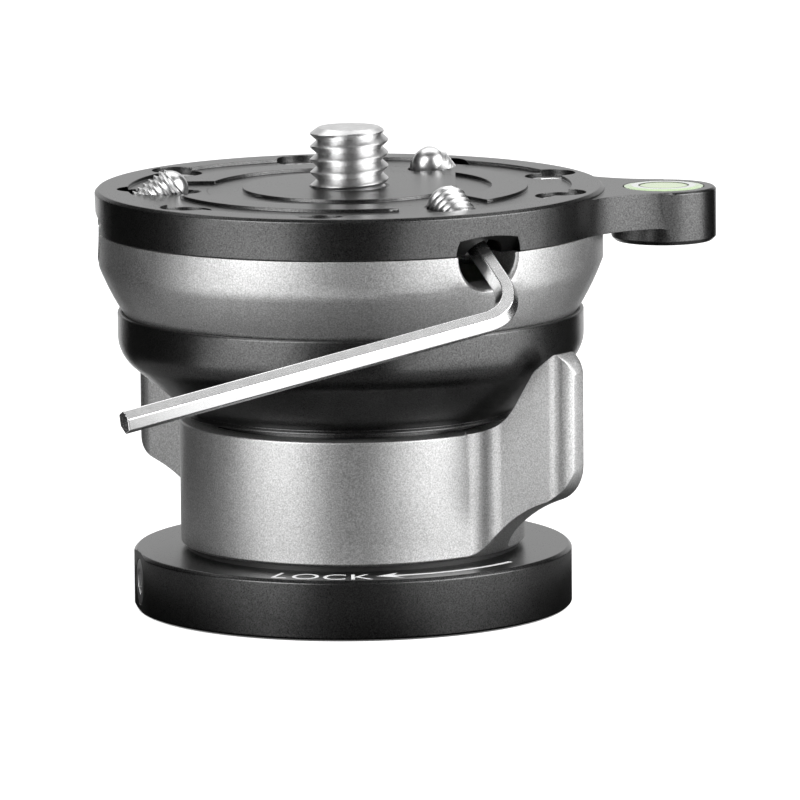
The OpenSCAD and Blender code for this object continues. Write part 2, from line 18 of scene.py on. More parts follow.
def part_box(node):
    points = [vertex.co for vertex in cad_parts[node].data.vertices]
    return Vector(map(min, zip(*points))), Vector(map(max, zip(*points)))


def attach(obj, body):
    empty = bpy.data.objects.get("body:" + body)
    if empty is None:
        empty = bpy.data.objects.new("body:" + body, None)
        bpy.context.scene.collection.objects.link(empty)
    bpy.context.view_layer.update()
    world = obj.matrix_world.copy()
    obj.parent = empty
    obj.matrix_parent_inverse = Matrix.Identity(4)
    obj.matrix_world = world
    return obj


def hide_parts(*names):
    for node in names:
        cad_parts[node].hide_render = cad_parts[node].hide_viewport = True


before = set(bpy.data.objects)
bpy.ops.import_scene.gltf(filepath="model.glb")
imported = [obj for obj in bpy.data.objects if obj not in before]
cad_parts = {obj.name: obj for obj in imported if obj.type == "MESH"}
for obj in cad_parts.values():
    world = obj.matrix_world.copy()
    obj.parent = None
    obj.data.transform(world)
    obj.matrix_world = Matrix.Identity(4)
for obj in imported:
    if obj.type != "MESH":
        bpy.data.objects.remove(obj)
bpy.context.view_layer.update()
MM = 0.001

# %% [markdown]
# Measures that many steps share
#
# Where a height or a radius can be read from a node's box, it is read there, so the dressed pieces
# follow the solids. What a box can't tell, such as a thread's pitch, is written here in
# millimetres.

# %% Read the shared measures from the frame
z_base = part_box("base_disc")[1].z
z_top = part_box("top_plate")[1].z
stud_low, stud_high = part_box("camera_stud")
vial_low, vial_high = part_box("vial_cup")
vial_place = (vial_low + vial_high) / 2
print("base top %.2f mm, plate top %.2f mm" % (z_base / MM, z_top / MM))

# %% [markdown]
# The camera
#
# A product photograph like this one is taken from far away with a long lens, so the ellipses of
# the discs are nearly alike from the base to the plate. The camera could be placed by eye and
# nudged, but a fitted one saves that: the distance, height and small roll below came from matching
# the round edges. The roll is built into the camera's own axes, because a camera looks along its
# local -Z.

# %% Make the camera
CAMERA_AIM = Vector((5.910, 0, 25.093)) * MM
CAMERA_DISTANCE = 1164.277 * MM
CAMERA_ELEVATION = math.radians(8.828)
CAMERA_ROLL = math.radians(-0.525)
FOCAL_PIXELS = 9543.9
FRAME_PIXELS = 800
SENSOR = 36.0

backward = Vector((0, -math.cos(CAMERA_ELEVATION), math.sin(CAMERA_ELEVATION)))
level_right = Vector((1, 0, 0))
level_up = backward.cross(level_right)
right = level_right * math.cos(CAMERA_ROLL) + level_up * math.sin(CAMERA_ROLL)
up = level_up * math.cos(CAMERA_ROLL) - level_right * math.sin(CAMERA_ROLL)
camera = bpy.data.objects.new("camera", bpy.data.cameras.new("camera"))
bpy.context.scene.collection.objects.link(camera)
camera.data.sensor_width = SENSOR
camera.data.lens = SENSOR * FOCAL_PIXELS / FRAME_PIXELS
place = CAMERA_AIM + backward * CAMERA_DISTANCE
axes = Matrix((right, up, backward)).transposed().to_4x4()
camera.matrix_world = Matrix.Translation(place) @ axes
camera.data.clip_end = 10
bpy.context.scene.camera = camera
print("camera at", [round(c / MM) for c in place], "mm, lens %.0f mm" % camera.data.lens)

# %% [markdown]
# Shader arithmetic as plain Python
#
# Node trees are slow to read when every sum is three lines of node and link calls. The class Value
# wraps one output socket, so that 0.3 + 0.1 * grain makes its own Math nodes, also with the number
# first. Nodes holds one tree and has a single method for every other kind of node. Finish is the
# tree of one material, with the few patterns that the metals and plastics here share.


# %% Wrap sockets and node trees
class Value:
    """One number or colour that changes over a surface."""

    def __init__(self, nodes, socket):
        self.nodes = nodes
        self.socket = socket

    def math(self, operation, first, second):
        return self.nodes.add("ShaderNodeMath", {"operation": operation}, {0: first, 1: second})

    def __add__(self, other):
        return self.math("ADD", self, other)

    __radd__ = __add__

    def __sub__(self, other):
        return self.math("SUBTRACT", self, other)

    def __rsub__(self, other):
        return self.math("SUBTRACT", other, self)

    def __mul__(self, other):
        return self.math("MULTIPLY", self, other)

    __rmul__ = __mul__


class Nodes:
    """A node tree that is filled through one method."""

    def __init__(self, tree):
        self.tree = tree
        self.tree.nodes.clear()

    def add(self, kind, settings, sockets, output=0):
        node = self.tree.nodes.new(kind)
        for name, value in settings.items():
            if name == "stops":
                ramp = node.color_ramp
                for element, (position, colour) in zip(ramp.elements, value):
                    element.position = position
                    element.color = (*colour, 1)
            else:
                setattr(node, name, value)
        for name, value in sockets.items():
            if isinstance(value, Value):
                self.tree.links.new(value.socket, node.inputs[name])
            else:
                node.inputs[name].default_value = value
        return Value(self, node.outputs[output]) if node.outputs else None

    def seen(self):
        """1 on rays from the camera, off metal and through glass, and 0 on diffuse light."""
        camera_ray = self.add("ShaderNodeLightPath", {}, {}, "Is Camera Ray")
        glossy_ray = self.add("ShaderNodeLightPath", {}, {}, "Is Glossy Ray")
        glass_ray = self.add("ShaderNodeLightPath", {}, {}, "Is Transmission Ray")
        both = camera_ray + glossy_ray
        clamped_sum = {"operation": "ADD", "use_clamp": True}
        return self.add("ShaderNodeMath", clamped_sum, {0: both, 1: glass_ray})


class Finish(Nodes):
    """One material, built node by node and closed with surface()."""

    def __init__(self, name):
        self.material = bpy.data.materials.new(name)
        self.material.use_nodes = True
        super().__init__(self.material.node_tree)
        self.place = self.add("ShaderNodeTexCoord", {}, {}, "Object")

    def noise(self, size, detail=2.0):
        """Cloudy pattern whose blobs are about this many metres across."""
        pattern = {"Vector": self.place, "Scale": 1 / size, "Detail": detail}
        return self.add("ShaderNodeTexNoise", {}, pattern)

    def shades(self, value, dark, light, low=0.3, high=0.7):
        return self.add("ShaderNodeValToRGB", {"stops": [(low, dark), (high, light)]}, {0: value})

    def bump(self, height, depth, strength):
        relief = {"Height": height, "Distance": depth, "Strength": strength}
        return self.add("ShaderNodeBump", {}, relief)

    def surface(self, **sockets):
        named = {name.replace("_", " "): value for name, value in sockets.items()}
        shader = self.add("ShaderNodeBsdfPrincipled", {}, named)
        self.add("ShaderNodeOutputMaterial", {}, {"Surface": shader})
        return self.material


def grey(level):
    return (level, level, level)


# %% [markdown]
# Black and silver anodised aluminium
#
# The base, bowl and plate are bead blasted and dyed black; the ring and the half-ball are blasted
# and left silver. Dyed aluminium is still metal under a thin clear skin, so black is a dark metal
# here and not a black paint: it goes almost black where it mirrors the dark room and grey where it
# mirrors a lamp. Blasting leaves pits of about a sixth of a millimetre, which show as a sparkle. A
# picture of grain could be wrapped on, but Object coordinates need no unwrapping and keep the
# grain the same size on every part. The same noise drives tone, roughness and a shallow bump, as
# one pit does. painted_shade_black is a much darker copy of the black for the notches in the
# plate's side: it paints the shade that falls inside them.

# %% Mix the anodised finishes
BLAST_GRAIN = 0.17 * MM
CLOUD_SIZE = 9 * MM
GRAIN_SHARE = 0.85
CLOUD_SHARE = 0.15
CLOUD_GLOSS = 0.03
PIT_STRENGTH = 0.7


def blasted(name, dark, light, gloss, gloss_spread, pit_depth):
    finish = Finish(name)
    grain = finish.noise(BLAST_GRAIN, 3.0)
    cloud = finish.noise(CLOUD_SIZE)
    tone = GRAIN_SHARE * grain + CLOUD_SHARE * cloud
    colour = finish.shades(tone, dark, light, low=0.34, high=0.66)
    roughness = gloss + gloss_spread * grain + CLOUD_GLOSS * cloud
    normal = finish.bump(grain, pit_depth, PIT_STRENGTH)
    return finish.surface(Base_Color=colour, Metallic=1.0, Roughness=roughness, Normal=normal)


black_anodised = blasted("black_anodised", grey(0.060), grey(0.140), 0.22, 0.12, 0.006 * MM)
silver_anodised = blasted("silver_anodised", grey(0.38), grey(0.72), 0.36, 0.14, 0.008 * MM)
# Painted shade for the notches in the plate: a near-black copy of the black finish.
painted_shade_black = blasted("painted_shade_black", grey(0.010), grey(0.022), 0.30, 0.12, 0.006 * MM)
print("finishes:", black_anodised.name, silver_anodised.name, painted_shade_black.name)

# %% [markdown]
# Turned and plated steel
#
# The stud and the screws are bright steel with faint turning marks, and the stud is a little
# duller. The key is nickel plated and almost a mirror. The fine marks come from a noise that a
# Mapping node squeezes along Z, so that they run round an upright part.

# %% Mix the steel finishes
MARKS_PER_METRE = 2600
MARK_SQUEEZE = (1, 1, 5)
MARK_STRENGTH = 0.4
HAZE_SIZE = 1.5 * MM


def bright_metal(name, dark, light, gloss, gloss_spread, mark_depth):
    finish = Finish(name)
    squeezed = {"Vector": finish.place, "Scale": MARK_SQUEEZE}
    mark_place = finish.add("ShaderNodeMapping", {}, squeezed)
    pattern = {"Vector": mark_place, "Scale": MARKS_PER_METRE, "Detail": 3.0}
    marks = finish.add("ShaderNodeTexNoise", {}, pattern)
    haze = finish.noise(HAZE_SIZE)
    colour = finish.shades(0.5 * marks + 0.5 * haze, dark, light)
    roughness = gloss + gloss_spread * haze + 0.5 * gloss_spread * marks
    normal = finish.bump(marks, mark_depth, MARK_STRENGTH)
    return finish.surface(Base_Color=colour, Metallic=1.0, Roughness=roughness, Normal=normal)


turned_steel = bright_metal("turned_steel", grey(0.62), grey(0.82), 0.20, 0.16, 0.003 * MM)
stud_steel = bright_metal("stud_steel", grey(0.56), grey(0.78), 0.22, 0.14, 0.003 * MM)
plated_steel = bright_metal("plated_steel", grey(0.70), grey(0.88), 0.14, 0.14, 0.001 * MM)
print("steel finishes:", turned_steel.name, stud_steel.name, plated_steel.name)

# %% [markdown]
# Plastics, print and the level's liquid
#
# The liners are natural acetal, which is a milky white, and the washer under the ring is black
# acetal. The lock mark is white ink. The level is a clear acrylic cup: its thick wall looks white
# because light bounces inside it, and its chamber holds a yellow-green liquid. Opaque pale
# materials with a glossy coat read the same and stay free of noise.

# %% Mix the plastics and the ink
PLASTIC_CLOUD = 0.6 * MM
CLOUD_DULLING = 0.08
COAT_GLOSS = 0.05


def plain_plastic(name, dark, light, gloss, coat):
    finish = Finish(name)
    cloud = finish.noise(PLASTIC_CLOUD)
    colour = finish.shades(cloud, dark, light)
    roughness = gloss + CLOUD_DULLING * cloud
    return finish.surface(Base_Color=colour, Roughness=roughness, Coat_Weight=coat,
                          Coat_Roughness=COAT_GLOSS)


acetal = plain_plastic("acetal", (0.62, 0.62, 0.58), (0.72, 0.72, 0.68), 0.4, 0.0)
black_acetal = plain_plastic("black_acetal", grey(0.012), grey(0.020), 0.4, 0.0)
white_ink = plain_plastic("white_ink", grey(0.86), grey(0.92), 0.5, 0.0)
pale_acrylic = plain_plastic("pale_acrylic", (0.74, 0.79, 0.75), (0.82, 0.86, 0.82), 0.15, 1.0)
level_liquid = plain_plastic("level_liquid", (0.44, 0.70, 0.18), (0.58, 0.82, 0.30), 0.1, 1.0)
# Painted glow: the liquid's light, carried through the clear wall, painted on the rim as opaque
# green.
painted_glow_rim = plain_plastic("painted_glow_rim", (0.40, 0.66, 0.22), (0.52, 0.76, 0.32), 0.12, 1.0)
level_air = plain_plastic("level_air", (0.66, 0.84, 0.55), (0.76, 0.92, 0.66), 0.08, 1.0)
dark_line = plain_plastic("dark_line", grey(0.02), grey(0.03), 0.4, 0.0)
print("materials so far:", len(bpy.data.materials))

# %% [markdown]
# Turning a bmesh into a piece
#
# Every piece ends the same way: its mesh goes into an object at the origin, gets its finish, and
# is told which body it moves with, and the solid that it stands for is hidden. Smooth shading with
# a sharp-edge angle keeps flat faces flat. One helper does this, so that no piece misses a step.

# %% Define the closing helper
SMOOTH_ANGLE = math.radians(32)


def close_piece(name, bm, body, node, finish, smooth_angle=SMOOTH_ANGLE):
    mesh = bpy.data.meshes.new(name)
    bm.to_mesh(mesh)
    bm.free()
    mesh.materials.append(finish)
    mesh.shade_smooth()
    mesh.set_sharp_from_angle(angle=smooth_angle)
    piece = bpy.data.objects.new(name, mesh)
    bpy.context.scene.collection.objects.link(piece)
    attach(piece, body)
    if node:
        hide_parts(node)
    print(name, len(mesh.polygons), "faces")
    return piece


# %% [markdown]
# Rounding the edges of machined parts
#
# The solids have perfectly sharp edges, and no real part does: a machinist breaks each edge by a
# tenth of a millimetre, and that thin bevel catches the light. The parts could be remodelled from
# scratch, but their solids are already exact. So each gets a merged copy, its flat triangles are
# dissolved into whole faces, and a Bevel modifier rounds what is sharp. Weighted normals then keep
# large faces flat. Where a fillet leaves a turned side it can leave a sliver of a face, which
# would show as a dark line, so points close together at that radius are welded first.

# %% Define the edge-breaking helper
WELD = 0.0005 * MM
EDGE_STEPS = 3
FLAT_ANGLE = math.radians(0.4)
SHARP_ANGLE = math.radians(28)
SEAM_BAND = 0.04 * MM
SEAM_GAP = 0.32 * MM


def edge_broken(name, node, body, finish, radius, seam_r=0.0):
    bm = bmesh.new()
    bm.from_mesh(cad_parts[node].data)
    bmesh.ops.remove_doubles(bm, verts=bm.verts, dist=WELD)
    if seam_r:
        seam = [vert for vert in bm.verts if abs(vert.co.xy.length - seam_r) < SEAM_BAND]
        bmesh.ops.remove_doubles(bm, verts=seam, dist=SEAM_GAP)
    bmesh.ops.dissolve_limit(bm, angle_limit=FLAT_ANGLE, verts=bm.verts, edges=bm.edges)
    piece = close_piece(name, bm, body, node, finish, math.pi)
    bevel = piece.modifiers.new("broken edges", "BEVEL")
    bevel.width = radius
    bevel.segments = EDGE_STEPS
    bevel.limit_method = "ANGLE"
    bevel.angle_limit = SHARP_ANGLE
    bevel.use_clamp_overlap = False
    bevel.miter_outer = "MITER_ARC"
    weighted = piece.modifiers.new("flat faces", "WEIGHTED_NORMAL")
    weighted.keep_sharp = True
    return piece


# %% [markdown]
# The machined aluminium parts
#
# Five parts are turned or milled from aluminium bar: the base disc, the lock ring, the bowl, the
# half-ball and the top plate. Their edges are broken by about a tenth of a millimetre, and only
# the ring has a seam to weld.

# %% Dress the aluminium parts
RING_SEAM_R = 21.01 * MM
edge_broken("base_disc_dressed", "base_disc", "base", black_anodised, 0.08 * MM)
edge_broken("lock_ring_dressed", "lock_ring", "lock_ring", silver_anodised,
            0.10 * MM, RING_SEAM_R)
edge_broken("bowl_dressed", "bowl", "bowl", black_anodised, 0.10 * MM)
edge_broken("half_ball_dressed", "half_ball", "platform", silver_anodised,
            0.08 * MM)
plate = edge_broken("top_plate_dressed", "top_plate", "platform",
                    black_anodised, 0.09 * MM)

# %% [markdown]
# Threads
#
# A thread is one V-shaped outline carried up a helix. Screw modifiers can make one, but bmesh's
# spin with a step along the axis gives a mesh at once: the outline of one pitch is spun for as
# many turns as the screw has, neighbouring turns are merged, and both ends are cut square and
# closed.

# %% Define the thread helper
THREAD_STEPS = 72
CREST_SHARE = 0.10
ROOT_SHARE = 0.06
TURN_WELD = 0.002


def only(parts, kind):
    """The points, edges or faces among the parts that an operator returns."""
    return [part for part in parts if isinstance(part, kind)]


def thread_skin(major, minor, pitch, low, high):
    bm = bmesh.new()
    crest = pitch * CREST_SHARE
    root = pitch * ROOT_SHARE
    crest_from = root + (pitch - crest - root) / 2
    start = low - pitch
    turns = math.ceil((high - low) / pitch) + 2
    outline = [(minor, 0), (minor, root), (major, crest_from), (major, crest_from + crest),
               (minor, pitch)]
    dots = [bm.verts.new((radius, 0, start + height)) for radius, height in outline]
    lines = [bm.edges.new(pair) for pair in zip(dots, dots[1:])]
    bmesh.ops.subdivide_edges(bm, edges=lines, cuts=2)
    bmesh.ops.spin(bm, geom=bm.verts[:] + bm.edges[:], axis=(0, 0, 1), cent=(0, 0, 0),
                   dvec=(0, 0, pitch / THREAD_STEPS), angle=2 * math.pi * turns,
                   steps=THREAD_STEPS * turns)
    bmesh.ops.remove_doubles(bm, verts=bm.verts, dist=pitch * TURN_WELD)
    for height, side in ((low, -1), (high, 1)):
        everything = bm.verts[:] + bm.edges[:] + bm.faces[:]
        cut = bmesh.ops.bisect_plane(bm, geom=everything, plane_co=(0, 0, height),
                                     plane_no=(0, 0, side), clear_outer=True)
        bmesh.ops.contextual_create(bm, geom=only(cut["geom_cut"], bmesh.types.BMEdge))
    return bm


def turn_down(bm, wide_at, narrow_at, wide, narrow):
    """Tapers the end of a rod, straight from one height to the other."""
    for vert in bm.verts:
        share = (vert.co.z - wide_at) / (narrow_at - wide_at)
        limit = wide + (narrow - wide) * min(share, 1)
        radius = vert.co.xy.length
        if share >= 0 and radius > limit:
            vert.co.xy *= limit / radius


# %% [markdown]
# The camera stud
#
# The stud in the middle of the plate has a 3/8 inch thread with 16 turns to the inch. Its end is
# turned to a short taper, so that a camera finds the thread. The head under the plate is hidden in
# the half-ball.

# %% Make the camera stud
STUD_D = 9.525 * MM
STUD_PITCH = 25.4 / 16 * MM
STUD_DEPTH = 0.74 * MM
STUD_TAPER = 1.0 * MM
STUD_TAPER_H = 0.7 * MM
HEAD_T = 3.0 * MM
SHANK_R = 4.4 * MM
PLATE_GAP = 0.02 * MM
ROUND_STEPS = 64


def add_rod(bm, radius, low, high):
    rod = bmesh.ops.create_cone(bm, cap_ends=True, segments=ROUND_STEPS, radius1=radius,
                                radius2=radius, depth=high - low)
    bmesh.ops.translate(bm, verts=rod["verts"], vec=(0, 0, (low + high) / 2))


stud_r = STUD_D / 2
head_r = (stud_high.x - stud_low.x) / 2
z_head = stud_low.z + HEAD_T
bm = thread_skin(stud_r, stud_r - STUD_DEPTH, STUD_PITCH, z_top + PLATE_GAP, stud_high.z)
turn_down(bm, stud_high.z - STUD_TAPER_H, stud_high.z, stud_r, stud_r - STUD_TAPER)
add_rod(bm, head_r, stud_low.z, z_head)
add_rod(bm, SHANK_R, z_head, z_top)
bmesh.ops.recalc_face_normals(bm, faces=bm.faces)
close_piece("camera_stud_threaded", bm, "platform", "camera_stud", stud_steel)

# %% [markdown]
# The three set screws
#
# Three M5 screws come up through the plate at a slant, and their domed tips dig into whatever is
# mounted. Each is made upright at the origin, with its dome on the lower end and a hexagon socket
# in the upper one, and is then carried to its place by one matrix, as a fixture would hold it.

# %% Make the set screws
SET_R = 2.5 * MM
SET_DEPTH = 0.46 * MM
SET_PITCH = 0.8 * MM
SET_LENGTH = 9 * MM
SET_CROSS = 21.7 * MM
SET_SLOPE = math.radians(36)
LEFT_TURN = 183
BACK_TURN = 63
FRONT_TURN = 303
DOME_R = 2.0 * MM
DOME_H = 1.2 * MM
TIP_TAPER = 0.35 * MM
SOCKET_AF = 2.6 * MM
SOCKET_DEPTH = 2.5 * MM
KEY_TURN = math.radians(-77.5)
HEX_CORNER = 1 / math.cos(math.radians(30))


def set_axis(turn):
    """Place of a set screw: local +Z runs outwards and down."""
    around = Matrix.Rotation(math.radians(turn), 4, "Z")
    cross = Matrix.Translation((SET_CROSS, 0, z_top))
    return around @ cross @ Matrix.Rotation(math.pi / 2 + SET_SLOPE, 4, "Y")


def add_dome(bm, tip):
    """A ball that is cut off level leaves the low dome of the screw's tip."""
    ball_r = (DOME_R ** 2 + DOME_H ** 2) / (2 * DOME_H)
    ball = bmesh.ops.create_uvsphere(bm, u_segments=ROUND_STEPS, v_segments=48, radius=ball_r)
    dome = ball["verts"]
    bmesh.ops.translate(bm, verts=dome, vec=(0, 0, ball_r - tip))
    parts = dome + list({edge for vert in dome for edge in vert.link_edges})
    parts += list({face for vert in dome for face in vert.link_faces})
    bmesh.ops.bisect_plane(bm, geom=parts, plane_co=(0, 0, DOME_H - tip), plane_no=(0, 0, 1),
                           clear_outer=True)


def set_screw(name, node, body, turn, tip):
    low = DOME_H - tip
    high = SET_LENGTH - tip
    bm = thread_skin(SET_R, SET_R - SET_DEPTH, SET_PITCH, low, high)
    turn_down(bm, high - SET_DEPTH, high, SET_R, SET_R - SET_DEPTH)
    turn_down(bm, low + TIP_TAPER, low, SET_R, DOME_R)
    ends = [face for face in bm.faces if face.normal.z > 0.99 and len(face.verts) > 8]
    bmesh.ops.delete(bm, geom=ends, context="FACES_ONLY")
    rim = [edge for edge in bm.edges if edge.is_boundary]
    hexagon = bmesh.ops.create_circle(bm, segments=6, radius=SOCKET_AF / 2 * HEX_CORNER)
    with_key = Matrix.Rotation(KEY_TURN + math.pi / 2, 3, "Z")
    bmesh.ops.rotate(bm, verts=hexagon["verts"], matrix=with_key)
    bmesh.ops.translate(bm, verts=hexagon["verts"], vec=(0, 0, high))
    socket = [edge for edge in bm.edges if edge.is_boundary and edge not in rim]
    bmesh.ops.bridge_loops(bm, edges=rim + socket)
    sides = bmesh.ops.extrude_edge_only(bm, edges=socket)
    floor = only(sides["geom"], bmesh.types.BMVert)
    bmesh.ops.translate(bm, verts=floor, vec=(0, 0, -SOCKET_DEPTH))
    bmesh.ops.contextual_create(bm, geom=floor)
    add_dome(bm, tip)
    bmesh.ops.recalc_face_normals(bm, faces=bm.faces)
    bmesh.ops.transform(bm, matrix=set_axis(turn), verts=bm.verts)
    return close_piece(name, bm, body, node, turned_steel)


set_screw("set_screw_left_threaded", "set_screw_left", "left_screw", LEFT_TURN, 2.1 * MM)
set_screw("set_screw_back_threaded", "set_screw_back", "back_screw", BACK_TURN, 2.1 * MM)
set_screw("set_screw_front_threaded", "set_screw_front", "front_screw", FRONT_TURN, 2.2 * MM)

# %% [markdown]
# The notches in the plate's side
#
# Below each set screw the plate's side has a notch, so that a key can enter. Its faces could be
# picked by hand, but a rule is safer when the solid changes: they lie inside the plate's rim,
# between its top and its underside, and in the screw's own direction. They take a much darker
# black as a second finish, which paints the shade inside the notch.

# %% Darken the notches
PLATE_T = 5.1 * MM
NOTCH_HALF = math.radians(11)
NOTCH_BACK_R = 22 * MM
RIM_R = 30.8 * MM
OFF_UNDERSIDE = 0.1 * MM
OFF_TOP = 1.0 * MM
notch_low = z_top - PLATE_T + OFF_UNDERSIDE
notch_high = z_top - OFF_TOP
# The second finish is painted shade: the notch faces are made near-black.
plate.data.materials.append(painted_shade_black)
in_notch = 0
for turn in (LEFT_TURN, BACK_TURN, FRONT_TURN):
    middle = Vector((math.cos(math.radians(turn)), math.sin(math.radians(turn))))
    for face in plate.data.polygons:
        across = face.center.xy.length
        inside = NOTCH_BACK_R < across < RIM_R and notch_low < face.center.z < notch_high
        if inside and face.center.xy.angle(middle) < NOTCH_HALF:
            face.material_index = 1
            in_notch += 1
print("notch faces:", in_notch)

# %% [markdown]
# The hexagon key
#
# The key is one hexagonal bar with a bend. A hexagon is extruded for the short arm, spun a quarter
# turn for the bend and extruded again for the long arm. The long edges are rolled round when the
# bar is drawn, so they get a small bevel, and both ends are chamfered. Extruding a face leaves the
# old one inside the bar, where it would spoil the shading, so faces that share every edge with two
# others are taken out.

# %% Make the hexagon key
KEY_AF = 2.5 * MM
KEY_START = 4.35 * MM
KEY_CORNER = 19.3 * MM
KEY_BEND = 4.8 * MM
KEY_LONG = 52.4 * MM
KEY_EDGE = 0.14 * MM
BEND_STEPS = 20
ROLLED_STEPS = 3
ROLLED_ANGLE = math.radians(35)

bm = bmesh.new()
bmesh.ops.create_circle(bm, cap_ends=True, segments=6, radius=KEY_AF / 2 * HEX_CORNER)
bmesh.ops.rotate(bm, verts=bm.verts, matrix=Matrix.Rotation(math.pi / 2, 3, "Z"))
bmesh.ops.translate(bm, verts=bm.verts, vec=(0, 0, KEY_START))

start_face = bm.faces[:][0]
swept = bmesh.ops.extrude_face_region(bm, geom=[start_face])
end_verts = only(swept["geom"], bmesh.types.BMVert)
end_face = only(swept["geom"], bmesh.types.BMFace)[0]
bmesh.ops.translate(bm, verts=end_verts, vec=(0, 0, KEY_CORNER - KEY_BEND - KEY_START))
bend_centre = (KEY_BEND, 0, KEY_CORNER - KEY_BEND)
bent = bmesh.ops.spin(bm, geom=[end_face], cent=bend_centre, axis=(0, 1, 0), angle=math.pi / 2,
                      steps=BEND_STEPS)
end_face = only(bent["geom_last"], bmesh.types.BMFace)[0]
swept = bmesh.ops.extrude_face_region(bm, geom=[end_face])
end_verts = only(swept["geom"], bmesh.types.BMVert)
bmesh.ops.translate(bm, verts=end_verts, vec=(KEY_LONG - KEY_BEND, 0, 0))
inner = [face for face in bm.faces if all(len(edge.link_faces) > 2 for edge in face.edges)]
bmesh.ops.delete(bm, geom=inner, context="FACES_ONLY")
print("inner faces taken out of the key:", len(inner))
bmesh.ops.recalc_face_normals(bm, faces=bm.faces)
place = set_axis(FRONT_TURN) @ Matrix.Rotation(KEY_TURN, 4, "Z")
bmesh.ops.transform(bm, matrix=place, verts=bm.verts)
key = close_piece("hex_key_drawn", bm, "key", "hex_key", plated_steel, math.pi)
rolled = key.modifiers.new("rolled edges", "BEVEL")
rolled.width = KEY_EDGE
rolled.segments = ROLLED_STEPS
rolled.limit_method = "ANGLE"
rolled.angle_limit = ROLLED_ANGLE
rolled.harden_normals = True

# %% [markdown]
# Small steel parts
#
# The six cap screws in the plate and the grub screw in the base keep their solids' shapes, with
# edges broken.

# %% Dress the small screws
edge_broken("plate_screws_dressed", "plate_screws", "platform", turned_steel, 0.10 * MM)
edge_broken("base_grub_screw_dressed", "base_grub_screw", "base", turned_steel, 0.10 * MM)

# %% [markdown]
# The bubble level
#
# The level is a small acrylic cup pressed into the boss. From above it reads as a pale ring, a
# thin dark circle and a green middle. The clear wall carries the liquid's light to the sloping
# outer rim, and that glow is painted on the rim as an opaque green. Its parts are turned, so each
# is an outline spun about the level's axis.

# %% Define the turning helper


def turned(outline, centre):
    """Spins an outline of radius and height about a vertical axis."""
    bm = bmesh.new()
    dots = [bm.verts.new((radius, 0, height)) for radius, height in outline]
    lines = [bm.edges.new(pair) for pair in zip(dots, dots[1:])]
    bmesh.ops.spin(bm, geom=dots + lines, axis=(0, 0, 1), cent=(0, 0, 0), angle=2 * math.pi,
                   steps=ROUND_STEPS, use_merge=True)
    bmesh.ops.remove_doubles(bm, verts=bm.verts, dist=WELD)
    bmesh.ops.recalc_face_normals(bm, faces=bm.faces)
    bmesh.ops.translate(bm, verts=bm.verts, vec=(centre.x, centre.y, 0))
    return bm


# %% Make the level's cup and rim
CUP_GAP = 0.12 * MM
CHAMBER_R = 3.1 * MM
RIM_W = 0.9 * MM
RIM_T = 0.02 * MM
RIM_DROP = 0.11 * MM
cup_r = (vial_high.x - vial_low.x) / 2 - CUP_GAP
rim_r = cup_r - RIM_W
z_cup = vial_high.z
z_rim = z_cup - RIM_DROP
z_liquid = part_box("vial_fluid")[0].z
cup = [(0, vial_low.z), (cup_r, vial_low.z), (cup_r, z_rim - RIM_T), (rim_r, z_cup - RIM_T),
       (rim_r, z_cup), (CHAMBER_R, z_cup), (CHAMBER_R, z_liquid), (0, z_liquid)]
close_piece("vial_cup_turned", turned(cup, vial_place), "platform", "vial_cup",
            pale_acrylic)

# The sloping rim carries the painted glow of the liquid.
rim = [(cup_r, z_rim), (rim_r, z_cup), (rim_r, z_cup - RIM_T), (cup_r, z_rim - RIM_T),
       (cup_r, z_rim)]
close_piece("vial_painted_glow_rim", turned(rim, vial_place), "platform", None, painted_glow_rim)

# %% Make the level's circle and lens
CIRCLE_W = 0.16 * MM
CIRCLE_T = 0.05 * MM
LENS_GAP = 0.02 * MM
LENS_EDGE_DROP = 0.04 * MM
LENS_CROWN_DROP = 0.01 * MM
lens_r = CHAMBER_R - LENS_GAP
lens_edge = lens_r - CIRCLE_W
z_line = z_cup - CIRCLE_T
line = [(lens_edge, z_line), (lens_r, z_line), (lens_r, z_cup), (lens_edge, z_cup),
        (lens_edge, z_line)]
close_piece("vial_circle", turned(line, vial_place), "platform", None, dark_line)

lens_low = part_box("vial_lens")[0].z
lens = [(0, lens_low), (lens_edge, lens_low), (lens_edge, z_cup - LENS_EDGE_DROP),
        (0, z_cup - LENS_CROWN_DROP)]
close_piece("vial_lens_turned", turned(lens, vial_place), "platform", "vial_lens",
            level_liquid)

# %% [markdown]
# The lock mark
#
# A word and an arrow are printed on the base's top face, bent round the axis, to show which way
# the ring locks. The word starts as a Blender text object. It becomes a mesh before it is bent,
# because only a mesh has points to move: across the word is an angle, and up the word is a radius.

# %% Print the lock mark
INK = 0.012 * MM
WORD_FROM = math.radians(-112.5)
WORD_TO = math.radians(-84.2)
WORD_BASE_R = 25.75 * MM
WORD_TOP_R = 22.25 * MM
LETTER_SPACE = 1.06
LETTER_WELD = 1e-5

letters = bpy.data.curves.new("lock_word", "FONT")
letters.body = "LOCK"
letters.space_character = LETTER_SPACE
word = bpy.data.objects.new("lock_word_flat", letters)
bpy.context.scene.collection.objects.link(word)
bpy.context.view_layer.update()
depsgraph = bpy.context.evaluated_depsgraph_get()
flat = bpy.data.meshes.new_from_object(word.evaluated_get(depsgraph))
bpy.data.objects.remove(word)
bm = bmesh.new()
bm.from_mesh(flat)
bmesh.ops.remove_doubles(bm, verts=bm.verts, dist=LETTER_WELD)
low = Vector((min(v.co.x for v in bm.verts), min(v.co.y for v in bm.verts)))
high = Vector((max(v.co.x for v in bm.verts), max(v.co.y for v in bm.verts)))
for vert in bm.verts:
    across = (vert.co.x - low.x) / (high.x - low.x)
    rise = (vert.co.y - low.y) / (high.y - low.y)
    angle = WORD_FROM + (WORD_TO - WORD_FROM) * across
    radius = WORD_BASE_R + (WORD_TOP_R - WORD_BASE_R) * rise
    vert.co = (radius * math.cos(angle), radius * math.sin(angle), z_base + INK)
close_piece("lock_word", bm, "base", None, white_ink)

